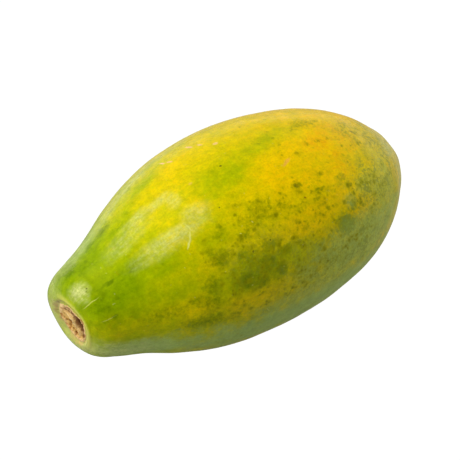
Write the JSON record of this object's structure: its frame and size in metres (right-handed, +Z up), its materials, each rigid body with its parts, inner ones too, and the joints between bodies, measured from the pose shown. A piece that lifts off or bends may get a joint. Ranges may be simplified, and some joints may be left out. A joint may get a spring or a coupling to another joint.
{
  "type": "papaya",
  "caption": "Whole uncut papaya lying on its side: a long egg-shaped fruit with a short neck, a shallow corky stem scar and a small blossom nipple.",
  "frame": {"origin": "on the surface that the fruit lies on, under the middle of its bounding box", "axes": "+Z up; the long axis lies along X with the stem end at -X and the blossom end at +X, the stem end 3 degrees lower; +Y is the side that the fruit bows towards"},
  "size_m": [0.217, 0.1162, 0.1118],
  "materials": {
    "skin": "satin"
  },
  "bodies": {
    "root": {"papaya": "skin"}
  },
  "joints": []
}
